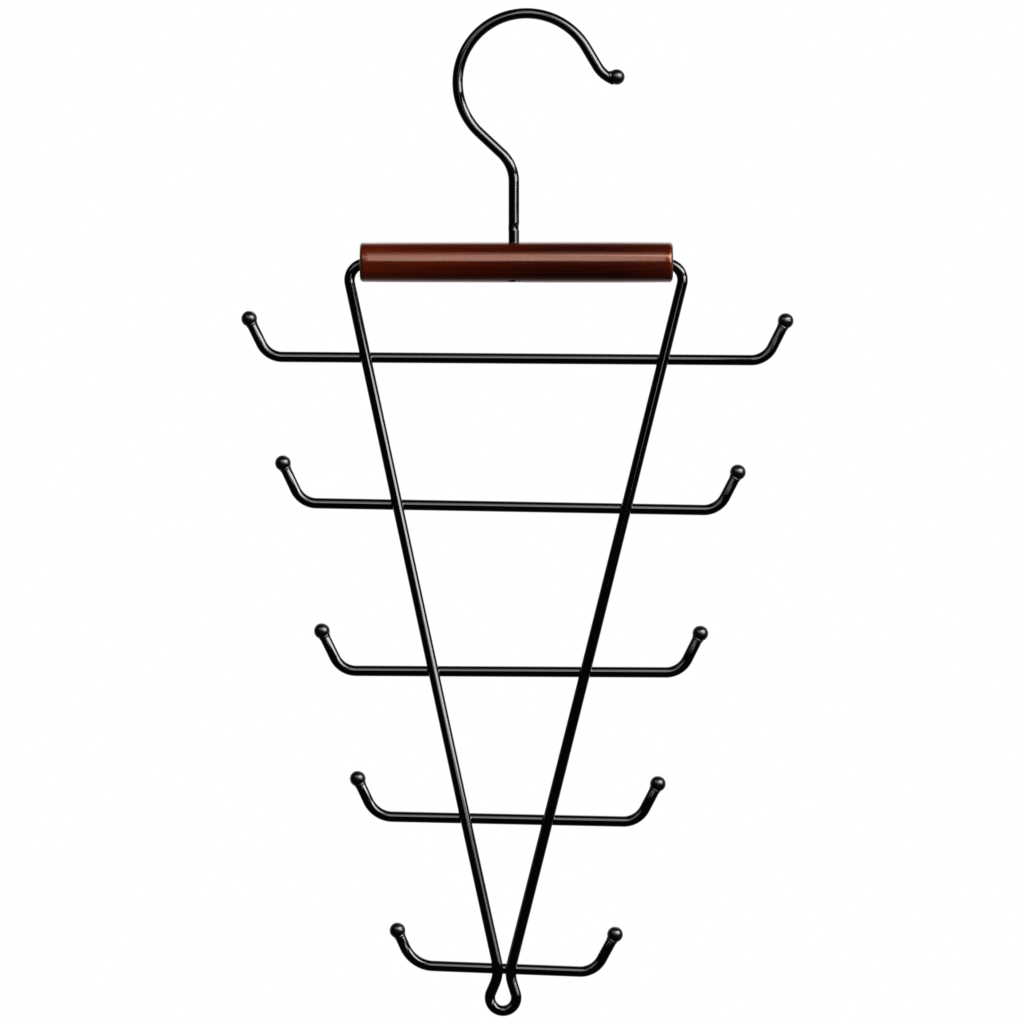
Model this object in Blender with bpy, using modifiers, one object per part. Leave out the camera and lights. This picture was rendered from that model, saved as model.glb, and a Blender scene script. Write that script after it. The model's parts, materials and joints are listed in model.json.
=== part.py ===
"""Rotating clothes hanger: a swivel hook through a turned wooden handle, and under it a V of
wire that carries five crossbars with ball tips.

The origin is where the rod bears in the crook of the hook, and +Z is up. The hook lies in the
XZ plane and the crossbars lie behind the V, at +Y. Lengths are in metres and angles in degrees.
"""

import math

import bmesh
import bpy
from mathutils import Matrix, Vector

# Wire stock, coated
HOOK_WIRE_DIAMETER = 0.0040
FRAME_WIRE_DIAMETER = 0.0040
BAR_WIRE_DIAMETER = 0.0040

# Space left between pieces that turn on, sit in or lie against each other
CLEARANCE = 0.0003

# Hook: the crook, its throat down to the stem, and the tip that bends back up
CROOK_INNER_DIAMETER = 0.0512
HOOK_HEIGHT = 0.0976
STEM_SETBACK = 0.0051
THROAT_DEG = 47
THROAT_BEND_RADIUS = 0.0156
CROOK_END_DEG = 30.7
TIP_RUN = 0.0080
TIP_BEND_RADIUS = 0.0105
TIP_HEADING_DEG = -4

# Stop pinched on the stem above the wood, and the head peened on its lower end
STOP_RISE = 0.0051
STOP_LENGTH = 0.0032
STOP_EAR_SPAN = 0.0051
STOP_DENT_SPAN = 0.0031
STOP_FACING_DEG = 38
HEAD_DIAMETER = 0.0066
HEAD_THICKNESS = 0.0012
HEAD_RIM = 0.0009
HEAD_INSET = 0.0001

# Washer between the head and the wood
WASHER_DIAMETER = 0.0066
WASHER_THICKNESS = 0.0006
WASHER_CHAMFER = 0.0001

# Handle: a dowel, and how far its cross hole is from the middle
HANDLE_LENGTH = 0.1252
HANDLE_DIAMETER = 0.0160
HANDLE_EDGE_RADIUS = 0.0016
HANDLE_SHIFT = 0.0010
END_BORE_DEPTH = 0.0300
END_BORE_DROP = 0.0004
TAIL_END_GAP = 0.0006

# Frame wire: shoulders beyond the handle's ends, legs, and the loop at the bottom
SHOULDER_STANDOFF = 0.00575
SHOULDER_BEND_RADIUS = 0.0067
LOOP_DROP = 0.29368
LOOP_INNER_DIAMETER = 0.0065
NECK_LENGTH = 0.0046
NECK_BEND_RADIUS = 0.0150
NECK_SHIFT = -0.0048
LOOP_SHIFT = -0.0053

# Crossbars: the lowest sits just above the neck, and the shares place the others
LAST_BAR_RISE = 0.0017
TOP_BAR_SPAN = 0.2148
BAR_TIP_RISE = 0.0155
BAR_LIFT_DEG = 63.6
BAR_BEND_RADIUS = 0.0096
WELD_SETDOWN = 0.0006
BAR_DROP_SHARES = (0.1347, 0.3449, 0.5789, 0.7880, 1.0)
BAR_SPAN_SHARES = (1.0, 0.848, 0.705, 0.559, 0.405)

# How each bar was bent and welded: the rise of its left and right ends as shares of the tip rise,
# its shift to the right as a share of the wire, and its slope down to the right
BAR_RISE_SHARES = ((0.98, 1.02), (1.02, 0.99), (1.02, 1.01), (0.96, 0.99), (0.88, 0.99))
BAR_SHIFT_SHARES = (0.24, -0.25, 0.15, 0.01, 0.05)
BAR_SLOPES_DEG = (0.4, 1.0, 0.3, 1.2, 2.2)

# Ball caps over the wire ends
BALL_DIAMETER = 0.0062
BALL_COLLAR_DIAMETER = 0.0052
BALL_COLLAR_LENGTH = 0.0005
BALL_SEAT = 0.0010

# Fineness of the mesh
WIRE_BEVEL_RESOLUTION = 4
BEND_STEP_DEG = 9
STOP_RINGS = 9
HANDLE_SIDES = 48
HOLE_SIDES = 32
BALL_SIDES = 14
BALL_RINGS = 8
DOME_RINGS = 4
EDGE_SEGMENTS = 3
SHARP_DEG = 40
CUT_OVERRUN = 0.0020
MERGE_DISTANCE = 0.00001


# Scene and materials

def clear_scene():
    for obj in list(bpy.data.objects):
        bpy.data.objects.remove(obj)


def new_collection(name):
    collection = bpy.data.collections.new(name)
    bpy.context.scene.collection.children.link(collection)
    return collection


def new_material(name, colour, roughness, metallic=0.0, coat=0.0):
    material = bpy.data.materials.new(name)
    material.use_nodes = True
    shader = material.node_tree.nodes["Principled BSDF"]
    shader.inputs["Base Color"].default_value = (*colour, 1)
    shader.inputs["Roughness"].default_value = roughness
    shader.inputs["Metallic"].default_value = metallic
    shader.inputs["Coat Weight"].default_value = coat
    material.diffuse_color = (*colour, 1)
    return material


def new_empty(name, place, parent=None):
    empty = bpy.data.objects.new(name, None)
    empty.location = place
    empty.parent = parent
    empty.empty_display_size = HANDLE_DIAMETER
    parts.objects.link(empty)
    return empty


# Routes: lists of points in the XZ plane

def on_circle(centre, radius, angle_deg):
    angle = math.radians(angle_deg)
    return centre + Vector((math.cos(angle), 0, math.sin(angle))) * radius


def arc(centre, radius, start_deg, end_deg):
    """Points from one angle of a circle to another, both ends included."""
    steps = max(2, math.ceil(abs(end_deg - start_deg) / BEND_STEP_DEG))
    turn = (end_deg - start_deg) / steps
    return [on_circle(centre, radius, start_deg + turn * step) for step in range(steps + 1)]


def angle_of(direction):
    return math.degrees(math.atan2(direction.z, direction.x))


def bend(before, corner, after, radius):
    """The arc that rounds a corner between two straight runs."""
    back = (before - corner).normalized()
    on = (after - corner).normalized()
    half = back.angle(on) / 2
    centre = corner + (back + on).normalized() * (radius / math.sin(half))
    reach = radius / math.tan(half)
    start = angle_of(corner + back * reach - centre)
    end = angle_of(corner + on * reach - centre)
    turn = (end - start + 180) % 360 - 180
    return arc(centre, radius, start, start + turn)


def tangent_angle(point, centre, radius, side):
    """The angle on a circle where the line from a point outside touches it."""
    away = point - centre
    return angle_of(away) + side * math.degrees(math.acos(radius / away.length))


def route_moment(points, diameter):
    """Weight of a wire along its route, as the sum of each stretch's length times its middle."""
    moment = Vector()
    for first, second in zip(points, points[1:]):
        moment += (first + second) / 2 * (second - first).length * diameter ** 2
    return moment


# Solids

def add_mesh(name, mesh, collection, material=None, parent=None):
    obj = bpy.data.objects.new(name, mesh)
    collection.objects.link(obj)
    obj.parent = parent
    mesh.shade_smooth()
    mesh.set_sharp_from_angle(angle=math.radians(SHARP_DEG))
    if material:
        mesh.materials.append(material)
    if collection == cutters:
        obj.hide_render = True
        obj.display_type = "WIRE"
    return obj


def mesh_of(obj):
    """The mesh that an object's curve or modifiers give, with its loose caps and poles welded."""
    graph = bpy.context.evaluated_depsgraph_get()
    mesh = bpy.data.meshes.new_from_object(obj.evaluated_get(graph))
    work = bmesh.new()
    work.from_mesh(mesh)
    bmesh.ops.remove_doubles(work, verts=work.verts, dist=MERGE_DISTANCE)
    work.to_mesh(mesh)
    work.free()
    mesh.name = obj.name
    bpy.data.objects.remove(obj)
    return mesh


def wire_mesh(name, points, diameter):
    curve = bpy.data.curves.new(name, "CURVE")
    curve.dimensions = "3D"
    curve.bevel_depth = diameter / 2
    curve.bevel_resolution = WIRE_BEVEL_RESOLUTION
    curve.use_fill_caps = True
    spline = curve.splines.new("POLY")
    spline.points.add(len(points) - 1)
    for spline_point, point in zip(spline.points, points):
        spline_point.co = (*point, 1)
    guide = bpy.data.objects.new(name, curve)
    parts.objects.link(guide)
    return mesh_of(guide)


def turned_mesh(name, profile, sides, closed=False):
    """A profile of (radius, height) pairs, from the top down, turned about Z."""
    edges = [(i, i + 1) for i in range(len(profile) - 1)]
    if closed:
        edges.append((len(profile) - 1, 0))
    outline = bpy.data.meshes.new(name)
    outline.from_pydata([(radius, 0, height) for radius, height in profile], edges, [])
    guide = bpy.data.objects.new(name, outline)
    parts.objects.link(guide)
    screw = guide.modifiers.new("Turn", "SCREW")
    screw.steps = sides
    screw.render_steps = sides
    screw.use_merge_vertices = True
    screw.merge_threshold = MERGE_DISTANCE
    return mesh_of(guide)


def boolean(obj, operation, other):
    modifier = obj.modifiers.new(other.name, "BOOLEAN")
    modifier.operation = operation
    modifier.object = other


# Places that several pieces share, above and below the handle's axis

HANDLE_RADIUS = HANDLE_DIAMETER / 2
STEM_BORE_RADIUS = HOOK_WIRE_DIAMETER / 2 + CLEARANCE
HEAD_BOTTOM = HEAD_INSET - HANDLE_RADIUS
HEAD_TOP = HEAD_BOTTOM + HEAD_THICKNESS
WASHER_BOTTOM = HEAD_TOP + CLEARANCE
WASHER_TOP = WASHER_BOTTOM + WASHER_THICKNESS
COUNTERBORE_FLOOR = WASHER_TOP + CLEARANCE
STOP_MIDDLE = HANDLE_RADIUS + STOP_RISE
BAR_SETBACK = (FRAME_WIRE_DIAMETER + BAR_WIRE_DIAMETER) / 2 - WELD_SETDOWN


# Hook

def hook_route():
    """From the peened foot up the stem, round the crook and on to the ball's middle."""
    radius = (CROOK_INNER_DIAMETER + HOOK_WIRE_DIAMETER) / 2
    centre = Vector((0, 0, -CROOK_INNER_DIAMETER / 2))
    axis_z = -HOOK_HEIGHT
    stem_x = -STEM_SETBACK
    foot = Vector((stem_x, 0, axis_z + (HEAD_TOP + HEAD_BOTTOM) / 2))
    stop_low = axis_z + STOP_MIDDLE - STOP_LENGTH / 2
    rings = [Vector((stem_x, 0, stop_low + STOP_LENGTH * ring / STOP_RINGS))
             for ring in range(STOP_RINGS + 1)]
    meet = on_circle(centre, radius, 180 + THROAT_DEG)
    throat = math.radians(THROAT_DEG)
    rise = (stem_x - meet.x) / math.tan(throat)
    corner = Vector((stem_x, 0, meet.z - rise))
    crook = arc(centre, radius, 180 + THROAT_DEG, CROOK_END_DEG)
    heading = on_circle(Vector(), 1, CROOK_END_DEG - 90)
    tip_start = crook[-1] + heading * TIP_RUN
    tip_centre = tip_start + on_circle(Vector(), TIP_BEND_RADIUS, CROOK_END_DEG)
    tip = arc(tip_centre, TIP_BEND_RADIUS, CROOK_END_DEG + 180, TIP_HEADING_DEG + 270)
    return [foot, *rings, *bend(foot, corner, meet, THROAT_BEND_RADIUS), *crook, *tip]


def pinch(mesh, middle):
    """Squeezes the round stem to an oval, which leaves two dents and two ears wider than the bore."""
    facing = math.radians(STOP_FACING_DEG)
    dent = Vector((math.sin(facing), -math.cos(facing), 0))
    ear = Vector((math.cos(facing), math.sin(facing), 0))
    for vertex in mesh.vertices:
        away = vertex.co - middle
        if abs(away.z) >= STOP_LENGTH / 2:
            continue
        amount = (1 + math.cos(2 * math.pi * away.z / STOP_LENGTH)) / 2
        ear_growth = (STOP_EAR_SPAN / HOOK_WIRE_DIAMETER - 1) * amount
        dent_growth = (STOP_DENT_SPAN / HOOK_WIRE_DIAMETER - 1) * amount
        vertex.co += ear * away.dot(ear) * ear_growth + dent * away.dot(dent) * dent_growth


def make_hook():
    route = hook_route()
    heading = on_circle(Vector(), 1, TIP_HEADING_DEG)
    mesh = wire_mesh("hook_wire", [*route, route[-1] + heading * BALL_SEAT], HOOK_WIRE_DIAMETER)
    pinch(mesh, Vector((-STEM_SETBACK, 0, STOP_MIDDLE - HOOK_HEIGHT)))
    hook = add_mesh("hook_wire", mesh, parts, black_coat)

    head_radius = HEAD_DIAMETER / 2
    dome = HEAD_THICKNESS - HEAD_RIM
    turns = [math.pi / 2 * ring / DOME_RINGS for ring in range(DOME_RINGS)]
    profile = [(0, HEAD_TOP), (head_radius, HEAD_TOP)]
    shoulder = HEAD_TOP - HEAD_RIM
    profile += [(head_radius * math.cos(turn), shoulder - dome * math.sin(turn)) for turn in turns]
    profile += [(0, HEAD_BOTTOM)]
    head = add_mesh("peened_head", turned_mesh("peened_head", profile, HOLE_SIDES), cutters)
    head.location = (-STEM_SETBACK, 0, -HOOK_HEIGHT)
    boolean(hook, "UNION", head)

    ball = add_mesh("hook_tip_ball", ball_mesh("hook_tip_ball", HOOK_WIRE_DIAMETER), parts, black_ball, hook)
    ball.location = route[-1]
    ball.rotation_euler.y = math.radians(90 - TIP_HEADING_DEG)
    return hook


# Ball caps

def ball_mesh(name, wire_diameter):
    """A ball with a blind bore for the wire and a short collar round its mouth; +Z is its crown."""
    radius = BALL_DIAMETER / 2
    collar = BALL_COLLAR_DIAMETER / 2
    bore = wire_diameter / 2 + CLEARANCE
    lowest = -math.acos(collar / radius)
    turns = [math.pi / 2 + (lowest - math.pi / 2) * ring / BALL_RINGS for ring in range(1, BALL_RINGS + 1)]
    mouth = radius * math.sin(lowest) - BALL_COLLAR_LENGTH
    bore_end = BALL_SEAT + CLEARANCE
    profile = [(0, radius)]
    profile += [(radius * math.cos(turn), radius * math.sin(turn)) for turn in turns]
    profile += [(collar, mouth), (bore, mouth), (bore, bore_end), (0, bore_end)]
    return turned_mesh(name, profile, BALL_SIDES)


# Swivel washer

def make_washer(swivel):
    outer = WASHER_DIAMETER / 2
    profile = [
        (STEM_BORE_RADIUS, WASHER_TOP),
        (outer - WASHER_CHAMFER, WASHER_TOP),
        (outer, WASHER_TOP - WASHER_CHAMFER),
        (outer, WASHER_BOTTOM + WASHER_CHAMFER),
        (outer - WASHER_CHAMFER, WASHER_BOTTOM),
        (STEM_BORE_RADIUS, WASHER_BOTTOM),
    ]
    mesh = turned_mesh("swivel_washer", profile, HOLE_SIDES, closed=True)
    return add_mesh("swivel_washer", mesh, parts, zinc_steel, swivel)


# Handle

def make_handle(swivel, pivot, tail_bend):
    work = bmesh.new()
    bmesh.ops.create_cone(
        work, cap_ends=True, segments=HANDLE_SIDES, radius1=HANDLE_RADIUS, radius2=HANDLE_RADIUS,
        depth=HANDLE_LENGTH, matrix=Matrix.Rotation(math.pi / 2, 4, "Y"))
    mesh = bpy.data.meshes.new("handle")
    work.to_mesh(mesh)
    work.free()
    handle = add_mesh("handle", mesh, parts, stained_wood, swivel)
    handle.location.x = HANDLE_SHIFT
    edges = handle.modifiers.new("Rounded ends", "BEVEL")
    edges.width = HANDLE_EDGE_RADIUS
    edges.segments = EDGE_SEGMENTS
    edges.limit_method = "ANGLE"
    edges.angle_limit = math.radians(SHARP_DEG)

    top = HANDLE_RADIUS + CUT_OVERRUN
    counterbore = max(HEAD_DIAMETER, WASHER_DIAMETER) / 2 + CLEARANCE
    profile = [
        (0, top),
        (STEM_BORE_RADIUS, top),
        (STEM_BORE_RADIUS, COUNTERBORE_FLOOR),
        (counterbore, COUNTERBORE_FLOOR),
        (counterbore, -top),
        (0, -top),
    ]
    cross_hole = turned_mesh("cross_hole", profile, HOLE_SIDES)
    boolean(handle, "DIFFERENCE", add_mesh("cross_hole", cross_hole, cutters, parent=swivel))

    for side, name in ((-1, "end_bore_left"), (1, "end_bore_right")):
        bore = add_mesh(name, end_bore_mesh(name, tail_bend), cutters, parent=pivot)
        bore.location.x = side * HANDLE_LENGTH / 2
        bore.rotation_euler.y = side * math.pi / 2
        boolean(handle, "DIFFERENCE", bore)
    return handle


def end_bore_mesh(name, tail_bend):
    """A blind bore whose mouth opens out as far as the wire's bend begins, and clears it there."""
    bore = FRAME_WIRE_DIAMETER / 2 + CLEARANCE
    inside = max(HANDLE_LENGTH / 2 - abs(tail_bend.x), 0)
    slope = math.asin(inside / SHOULDER_BEND_RADIUS)
    sag = SHOULDER_BEND_RADIUS * (1 - math.cos(slope))
    mouth = sag + (bore + CLEARANCE) / math.cos(slope)
    mouth_depth = inside + CLEARANCE
    profile = [
        (0, CUT_OVERRUN),
        (mouth, CUT_OVERRUN),
        (mouth, 0),
        (bore, -mouth_depth),
        (bore, -END_BORE_DEPTH),
        (0, -END_BORE_DEPTH),
    ]
    return turned_mesh(name, profile, HOLE_SIDES)


# Frame

def frame_route():
    """From one tail in the handle, down a leg, round the loop and up to the other tail."""
    tail = HANDLE_LENGTH / 2 - END_BORE_DEPTH + TAIL_END_GAP
    shoulder = HANDLE_LENGTH / 2 + SHOULDER_STANDOFF
    loop_radius = (LOOP_INNER_DIAMETER + FRAME_WIRE_DIAMETER) / 2
    loop = Vector((LOOP_SHIFT, 0, -LOOP_DROP))
    neck_z = loop_radius + NECK_LENGTH - LOOP_DROP
    ends = {}
    for side in (-1, 1):
        tail_end = Vector((side * tail, 0, 0))
        corner = Vector((side * shoulder, 0, 0))
        neck = Vector((NECK_SHIFT + side * FRAME_WIRE_DIAMETER / 2, 0, neck_z))
        touch = tangent_angle(neck, loop, loop_radius, -side)
        leave = on_circle(loop, loop_radius, touch)
        down = [tail_end, *bend(tail_end, corner, neck, SHOULDER_BEND_RADIUS),
                *bend(corner, neck, leave, NECK_BEND_RADIUS)]
        ends[side] = (down, touch)
    left, left_touch = ends[-1]
    right, right_touch = ends[1]
    around = arc(loop, loop_radius, left_touch, right_touch + 360)
    return [*left, *around, *reversed(right)]


def bar_route(span, rise_shares):
    """A crossbar's own route, from the middle of one ball to the middle of the other."""
    ends = {}
    for side, share in zip((-1, 1), rise_shares):
        rise = BAR_TIP_RISE * share
        sideways = rise / math.tan(math.radians(BAR_LIFT_DEG))
        ball = Vector((side * span / 2, 0, rise))
        corner = Vector((side * (span / 2 - sideways), 0, 0))
        ends[side] = (ball, corner)
    left_ball, left_corner = ends[-1]
    right_ball, right_corner = ends[1]
    return [left_ball, *bend(left_ball, left_corner, right_corner, BAR_BEND_RADIUS),
            *bend(left_corner, right_corner, right_ball, BAR_BEND_RADIUS), right_ball]


def bars_on_frame():
    """Each crossbar's own route, and its place and slope on the frame."""
    last = LOOP_DROP - (LOOP_INNER_DIAMETER + FRAME_WIRE_DIAMETER) / 2 - NECK_LENGTH - LAST_BAR_RISE
    bars = []
    for drop_share, span_share, rise_shares, shift_share, slope in zip(
            BAR_DROP_SHARES, BAR_SPAN_SHARES, BAR_RISE_SHARES, BAR_SHIFT_SHARES, BAR_SLOPES_DEG):
        drop = last * drop_share
        middle = NECK_SHIFT * drop_share + shift_share * BAR_WIRE_DIAMETER
        place = Matrix.Translation((middle, BAR_SETBACK, -drop))
        slant = Matrix.Rotation(math.radians(slope), 4, "Y")
        bars.append((bar_route(TOP_BAR_SPAN * span_share, rise_shares), place @ slant))
    return bars


def hanging_lean(frame_points, bars):
    """The angle at which the frame hangs, with its weight, bars behind it, under the pivot."""
    moment = route_moment(frame_points, FRAME_WIRE_DIAMETER)
    for route, place in bars:
        moment += route_moment([place @ point for point in route], BAR_WIRE_DIAMETER)
    return -math.atan2(moment.y, -moment.z)


def make_crossbar(number, route, place, notch, pivot):
    """One bar with its two balls, notched where it is set down on the legs."""
    name = f"crossbar_{number}"
    beyond = (route[-1] - route[-2]).normalized() * BALL_SEAT
    mirrored = Vector((-beyond.x, beyond.y, beyond.z))
    ends = [route[0] + mirrored, *route[1:-1], route[-1] + beyond]
    bar = add_mesh(name, wire_mesh(name, ends, BAR_WIRE_DIAMETER), parts, black_coat, pivot)
    bar.matrix_local = place
    boolean(bar, "DIFFERENCE", notch)
    for side, word, middle in ((-1, "left", route[0]), (1, "right", route[-1])):
        name = f"bar_tip_{number}_{word}"
        ball = add_mesh(name, ball_mesh(name, BAR_WIRE_DIAMETER), parts, black_ball, bar)
        ball.location = middle
        ball.rotation_euler.y = side * math.radians(90 - BAR_LIFT_DEG)


def make_frame(pivot, points, bars):
    add_mesh("frame_wire", wire_mesh("frame_wire", points, FRAME_WIRE_DIAMETER), parts, black_coat, pivot)
    notch_mesh = wire_mesh("leg_notch", points, FRAME_WIRE_DIAMETER + 2 * CLEARANCE)
    notch = add_mesh("leg_notch", notch_mesh, cutters, parent=pivot)
    for number, (route, place) in enumerate(bars, start=1):
        make_crossbar(number, route, place, notch, pivot)


clear_scene()
parts = new_collection("rotating_clothes_hanger")
cutters = new_collection("cutters")
black_coat = new_material("gloss_black_coated_wire", (0.006, 0.006, 0.006), 0.16, coat=0.5)
black_ball = new_material("gloss_black_ball", (0.007, 0.007, 0.007), 0.12, coat=0.5)
zinc_steel = new_material("zinc_plated_steel", (0.62, 0.62, 0.60), 0.35, metallic=1.0)
stained_wood = new_material("stained_lacquered_wood", (0.16, 0.030, 0.012), 0.30, coat=0.6)

frame_points = frame_route()
bars = bars_on_frame()
swivel_axis = new_empty("swivel_axis", (-STEM_SETBACK, 0, -HOOK_HEIGHT))
bore_axis = new_empty("bore_axis", (HANDLE_SHIFT, 0, -END_BORE_DROP), swivel_axis)
frame_pivot = new_empty("frame_pivot", (HANDLE_SHIFT, 0, -END_BORE_DROP), swivel_axis)
frame_pivot.rotation_euler.x = hanging_lean(frame_points, bars)

make_hook()
make_washer(swivel_axis)
make_handle(swivel_axis, bore_axis, frame_points[1])
make_frame(frame_pivot, frame_points, bars)
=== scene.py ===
# %% [markdown]
# # A rotating clothes hanger
# A wire hook turns on its stem in a round wooden handle. Each end of a long V of wire turns in
# an end of that handle, and five crossbars with balls on their ends are welded behind the V.
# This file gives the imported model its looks: a finer piece replaces every solid of it, sits in
# the same place and moves with the same body.

# %% Load the frame
import json
import math

import bmesh
import bpy
from mathutils import Matrix, Vector


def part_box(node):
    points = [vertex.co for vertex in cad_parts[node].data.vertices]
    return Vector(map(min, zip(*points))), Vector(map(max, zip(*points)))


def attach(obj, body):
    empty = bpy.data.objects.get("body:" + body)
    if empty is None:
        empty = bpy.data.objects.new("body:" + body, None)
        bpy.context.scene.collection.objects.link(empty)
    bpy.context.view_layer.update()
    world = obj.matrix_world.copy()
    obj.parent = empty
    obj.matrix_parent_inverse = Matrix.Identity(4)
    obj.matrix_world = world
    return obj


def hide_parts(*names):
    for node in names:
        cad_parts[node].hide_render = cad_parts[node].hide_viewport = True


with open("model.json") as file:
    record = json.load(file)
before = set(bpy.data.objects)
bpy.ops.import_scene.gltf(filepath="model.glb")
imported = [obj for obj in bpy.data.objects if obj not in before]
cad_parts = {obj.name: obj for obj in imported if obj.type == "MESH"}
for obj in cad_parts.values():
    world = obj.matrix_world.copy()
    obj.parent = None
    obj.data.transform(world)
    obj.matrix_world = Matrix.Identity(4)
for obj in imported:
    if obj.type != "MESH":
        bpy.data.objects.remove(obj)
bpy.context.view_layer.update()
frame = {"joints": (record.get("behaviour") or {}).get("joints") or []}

MM = 0.001

# %% [markdown]
# ## The camera
# The photograph looks straight at the front from far off, so its lines hardly converge. A lens
# at 3 m that takes in 0.41 m does the same, and the object fills the square picture.

# %% Camera
CAMERA_DISTANCE = 3.0
PICTURE_WIDTH = 409.6 * MM
PICTURE_MIDDLE = Vector((-5.84 * MM, 0, -197.5 * MM))
SENSOR_WIDTH = 36

camera = bpy.data.objects.new("front_camera", bpy.data.cameras.new("front_camera"))
bpy.context.scene.collection.objects.link(camera)
camera.location = PICTURE_MIDDLE - Vector((0, CAMERA_DISTANCE, 0))
camera.rotation_euler = (math.pi / 2, 0, 0)
camera.data.sensor_width = SENSOR_WIDTH
camera.data.lens = SENSOR_WIDTH * CAMERA_DISTANCE / PICTURE_WIDTH
bpy.context.scene.camera = camera
bpy.context.scene.view_settings.view_transform = "Standard"
print("lens:", round(camera.data.lens, 1), "mm")

# %% [markdown]
# ## Colours and node trees
# Colours are written as a screen shows them, in sRGB hex, and one function turns them into the
# linear light that a shader works in. One more function adds a node, sets it and links it, so
# that each material below reads as a short list of nodes.

# %% Helpers for colours and nodes
def linear(hex_colour):
    """An sRGB hex colour as linear red, green, blue and an alpha of 1."""
    channels = [int(hex_colour[i:i + 2], 16) / 255 for i in (1, 3, 5)]
    return (*(c / 12.92 if c <= 0.04045 else ((c + 0.055) / 1.055) ** 2.4 for c in channels), 1)


def plug(tree, value, socket):
    """Sets a socket to a value, or links an output to it."""
    if isinstance(value, bpy.types.NodeSocket):
        tree.links.new(value, socket)
    else:
        socket.default_value = value


def add_node(tree, kind, settings=(), **links):
    """Adds a node. Each link is a value, or an output to plug in.

    An input goes by its name, with _ for a space, or by its number, as in0."""
    node = tree.nodes.new(kind)
    for setting, value in dict(settings).items():
        setattr(node, setting, value)
    for name, value in links.items():
        numbered = name.startswith("in") and name[2:].isdigit()
        key = int(name[2:]) if numbered else name.replace("_", " ")
        plug(tree, value, node.inputs[key])
    return node


print("helpers ready: linear, plug, add_node")

# %% [markdown]
# ## Starting a finish
# A finish is one Principled shader with a few nodes in front of it. These helpers start one and
# add the nodes that come back in most finishes. A noise takes the width of its patches, because
# that can be measured on a real thing.

# %% Helpers for finishes
def new_finish(name):
    """A material, its node tree and its Principled shader."""
    finish = bpy.data.materials.new(name)
    finish.use_nodes = True
    return finish, finish.node_tree, finish.node_tree.nodes["Principled BSDF"]


def set_shader(tree, shader, **values):
    """Sets the shader's sockets, or plugs outputs into them."""
    for name, value in values.items():
        plug(tree, value, shader.inputs[name.replace("_", " ")])


def set_ramp(ramp, stops):
    """Gives a colour ramp its (position, hex colour) stops."""
    elements = ramp.color_ramp.elements
    while len(elements) < len(stops):
        elements.new(1.0)
    for element, (position, hex_colour) in zip(elements, stops):
        element.position = position
        element.color = linear(hex_colour)


def calculate(tree, operation, *values):
    """The result of a Math node."""
    links = {f"in{number}": value for number, value in enumerate(values)}
    return add_node(tree, "ShaderNodeMath", {"operation": operation}, **links).outputs["Value"]


def add_noise(tree, place, size, detail, roughness):
    """A noise whose patches are about this wide."""
    return add_node(
        tree, "ShaderNodeTexNoise", Vector=place, Scale=1 / size, Detail=detail, Roughness=roughness)


def spread(tree, noise, low, high):
    """The range that a noise mostly keeps to, 0.3 to 0.7, spread over another."""
    return add_node(
        tree, "ShaderNodeMapRange", Value=noise.outputs["Fac"], From_Min=0.3, From_Max=0.7,
        To_Min=low, To_Max=high).outputs["Result"]


print("helpers ready: new_finish, set_shader, set_ramp, calculate, add_noise, spread")

# %% [markdown]
# ## The studio
# The object hangs in front of a white backdrop in a dark studio. The world stands for both: a
# ray that goes off towards the backdrop, behind the object, finds it nearly white, and one that
# goes anywhere else finds a dark room. That keeps the black wire black and gives each round
# piece the pale rim that it has in the photograph. What the camera sees directly is plain white.

# %% World
BACKDROP_REACH_DEG = 80
BACKDROP_FALLOFF = 1.8
BACKDROP_LEVEL = 0.85
ROOM_LEVEL = 0.008

world = bpy.data.worlds.new("studio")
bpy.context.scene.world = world
world.use_nodes = True
tree = world.node_tree
tree.nodes.clear()
rays = add_node(tree, "ShaderNodeLightPath")
direction = add_node(tree, "ShaderNodeTexCoord")
towards = add_node(tree, "ShaderNodeSeparateXYZ", Vector=direction.outputs["Generated"])
facing = add_node(
    tree, "ShaderNodeMapRange", Value=towards.outputs["Y"],
    From_Min=math.cos(math.radians(BACKDROP_REACH_DEG)), From_Max=1.0)
fade = calculate(tree, "POWER", facing.outputs["Result"], BACKDROP_FALLOFF)
backdrop = add_node(
    tree, "ShaderNodeMapRange", Value=fade, To_Min=ROOM_LEVEL, To_Max=BACKDROP_LEVEL)
seen = add_node(
    tree, "ShaderNodeMix", {"data_type": "FLOAT"}, Factor=rays.outputs["Is Camera Ray"],
    A=backdrop.outputs["Result"], B=1.0)
light = add_node(tree, "ShaderNodeBackground", Color=(1, 1, 1, 1), Strength=seen.outputs["Result"])
add_node(tree, "ShaderNodeOutputWorld", Surface=light.outputs["Background"])
print("backdrop level:", BACKDROP_LEVEL, "room level:", ROOM_LEVEL)

# %% [markdown]
# ## The lamps
# The highlights in the photograph say where its lights stood. A round piece mirrors a lamp where
# it faces halfway between the lamp and the camera, so the place of each bright strip gives the
# lamp's direction. The key light stands at the right in five panels: the low ones draw the
# strips on the legs, and the upper ones those on the turned-up ends and the blobs on the balls.
# A narrow strip light in front, dimmer towards its top, draws the band along the handle and the
# strips on the crossbars. A low card draws the strip on the right leg, a weak softbox at the
# left the faint strips in the crook and the loop, and a lamp behind lights the back.

# %% Lamps
LAMP_DISTANCE = 2.2
BACK_LAMP_DISTANCE = 2.4


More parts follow.
